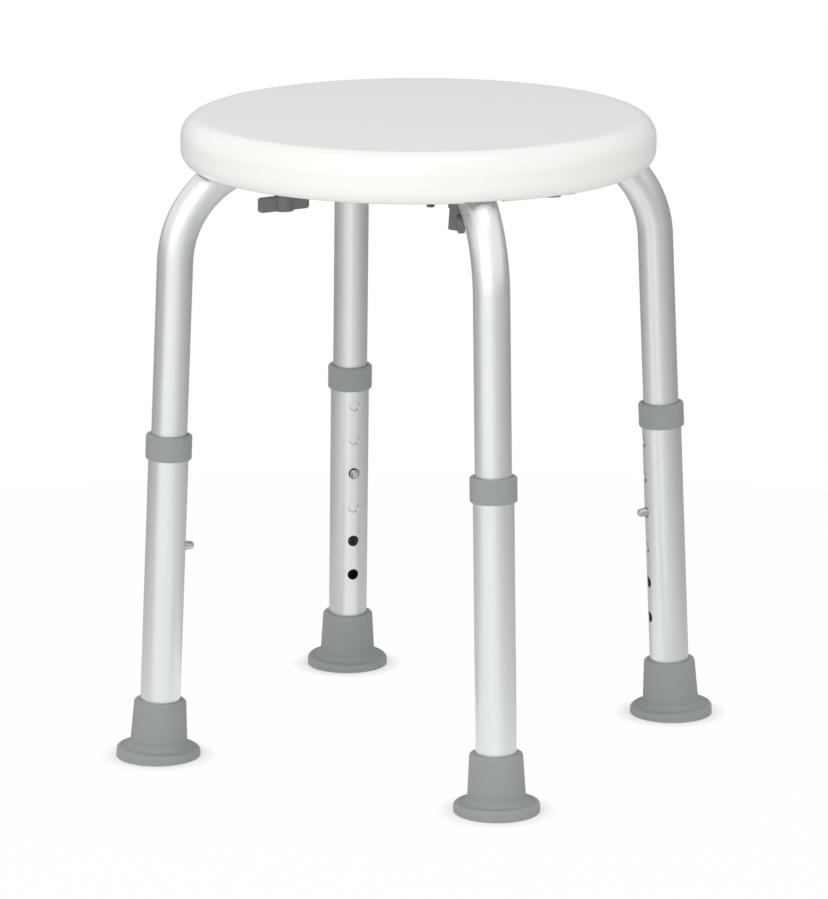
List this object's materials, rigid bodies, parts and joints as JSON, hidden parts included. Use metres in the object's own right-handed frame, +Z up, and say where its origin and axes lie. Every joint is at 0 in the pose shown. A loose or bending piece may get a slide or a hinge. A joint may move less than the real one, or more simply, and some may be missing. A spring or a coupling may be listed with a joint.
{
  "type": "shower stool",
  "caption": "Round white plastic seat on splayed aluminium legs that telescope on snap buttons, with rubber feet and wing nuts under the seat.",
  "frame": {"origin": "on the floor, below the middle of the seat", "axes": "+Z up, the legs lie along +X, -X, +Y and -Y"},
  "size_m": [0.4396, 0.4396, 0.447],
  "materials": {
    "seat_plastic": "satin moulded plastic",
    "aluminium_tube": "satin anodised",
    "grey_plastic": "moulded, fine matt",
    "dark_plastic": "moulded, fine matt",
    "grey_rubber": "matt rubber",
    "plated_steel": "zinc plated",
    "spring_steel": "nickel plated"
  },
  "bodies": {
    "frame": {"seat": "seat_plastic", "seat_studs": "plated_steel", "saddle_washers": "grey_plastic", "upper_leg_tube_left": "aluminium_tube", "upper_leg_tube_front": "aluminium_tube", "upper_leg_tube_right": "aluminium_tube", "upper_leg_tube_back": "aluminium_tube"},
    "leg_left": {"lower_leg_tube_left": "aluminium_tube", "collar_left": "grey_plastic", "foot_left": "grey_rubber", "foot_disc_left": "plated_steel"},
    "leg_front": {"lower_leg_tube_front": "aluminium_tube", "collar_front": "grey_plastic", "foot_front": "grey_rubber", "foot_disc_front": "plated_steel"},
    "leg_right": {"lower_leg_tube_right": "aluminium_tube", "collar_right": "grey_plastic", "foot_right": "grey_rubber", "foot_disc_right": "plated_steel"},
    "leg_back": {"lower_leg_tube_back": "aluminium_tube", "collar_back": "grey_plastic", "foot_back": "grey_rubber", "foot_disc_back": "plated_steel"},
    "clip_left": {"snap_clip_left": "spring_steel"},
    "clip_front": {"snap_clip_front": "spring_steel"},
    "clip_right": {"snap_clip_right": "spring_steel"},
    "clip_back": {"snap_clip_back": "spring_steel"},
    "wing_nut_left_inner": {"wing_nut_left_inner": "dark_plastic"},
    "wing_nut_left_outer": {"wing_nut_left_outer": "dark_plastic"},
    "wing_nut_front_inner": {"wing_nut_front_inner": "dark_plastic"},
    "wing_nut_front_outer": {"wing_nut_front_outer": "dark_plastic"},
    "wing_nut_right_inner": {"wing_nut_right_inner": "dark_plastic"},
    "wing_nut_right_outer": {"wing_nut_right_outer": "dark_plastic"},
    "wing_nut_back_inner": {"wing_nut_back_inner": "dark_plastic"},
    "wing_nut_back_outer": {"wing_nut_back_outer": "dark_plastic"}
  },
  "joints": [
    {"name": "leg_length_left", "type": "slide", "parent": "frame", "child": "leg_left", "axis": [-0.0454, 0, -0.999], "range_m": [-0.078, 0.052]},
    {"name": "leg_length_front", "type": "slide", "parent": "frame", "child": "leg_front", "axis": [0, -0.0454, -0.999], "range_m": [-0.078, 0.052]},
    {"name": "leg_length_right", "type": "slide", "parent": "frame", "child": "leg_right", "axis": [0.0454, 0, -0.999], "range_m": [-0.078, 0.052]},
    {"name": "leg_length_back", "type": "slide", "parent": "frame", "child": "leg_back", "axis": [0, 0.0454, -0.999], "range_m": [-0.078, 0.052]},
    {"name": "button_press_left", "type": "slide", "parent": "frame", "child": "clip_left", "axis": [-0.999, 0, 0.0454], "range_m": [0, 0.0076], "stiffness_N_per_m": 2000, "springref_m": -0.002, "deforming": ["snap_clip_left"]},
    {"name": "button_press_front", "type": "slide", "parent": "frame", "child": "clip_front", "axis": [0, -0.999, 0.0454], "range_m": [0, 0.0076], "stiffness_N_per_m": 2000, "springref_m": -0.002, "deforming": ["snap_clip_front"]},
    {"name": "button_press_right", "type": "slide", "parent": "frame", "child": "clip_right", "axis": [0.999, 0, 0.0454], "range_m": [0, 0.0076], "stiffness_N_per_m": 2000, "springref_m": -0.002, "deforming": ["snap_clip_right"]},
    {"name": "button_press_back", "type": "slide", "parent": "frame", "child": "clip_back", "axis": [0, 0.999, 0.0454], "range_m": [0, 0.0076], "stiffness_N_per_m": 2000, "springref_m": -0.002, "deforming": ["snap_clip_back"]},
    {"name": "turn_wing_nut_left_inner", "type": "hinge", "parent": "frame", "child": "wing_nut_left_inner", "pos_m": [-0.03, 0, 0.39185], "axis": [0, 0, 1], "continuous": true},
    {"name": "turn_wing_nut_left_outer", "type": "hinge", "parent": "frame", "child": "wing_nut_left_outer", "pos_m": [-0.09698, 0, 0.38385], "axis": [0, 0, 1], "continuous": true},
    {"name": "turn_wing_nut_front_inner", "type": "hinge", "parent": "frame", "child": "wing_nut_front_inner", "pos_m": [0, -0.03, 0.39185], "axis": [0, 0, 1], "continuous": true},
    {"name": "turn_wing_nut_front_outer", "type": "hinge", "parent": "frame", "child": "wing_nut_front_outer", "pos_m": [0, -0.09698, 0.38385], "axis": [0, 0, 1], "continuous": true},
    {"name": "turn_wing_nut_right_inner", "type": "hinge", "parent": "frame", "child": "wing_nut_right_inner", "pos_m": [0.03, 0, 0.39185], "axis": [0, 0, 1], "continuous": true},
    {"name": "turn_wing_nut_right_outer", "type": "hinge", "parent": "frame", "child": "wing_nut_right_outer", "pos_m": [0.09698, 0, 0.38385], "axis": [0, 0, 1], "continuous": true},
    {"name": "turn_wing_nut_back_inner", "type": "hinge", "parent": "frame", "child": "wing_nut_back_inner", "pos_m": [0, 0.03, 0.39185], "axis": [0, 0, 1], "continuous": true},
    {"name": "turn_wing_nut_back_outer", "type": "hinge", "parent": "frame", "child": "wing_nut_back_outer", "pos_m": [0, 0.09698, 0.38385], "axis": [0, 0, 1], "continuous": true}
  ]
}
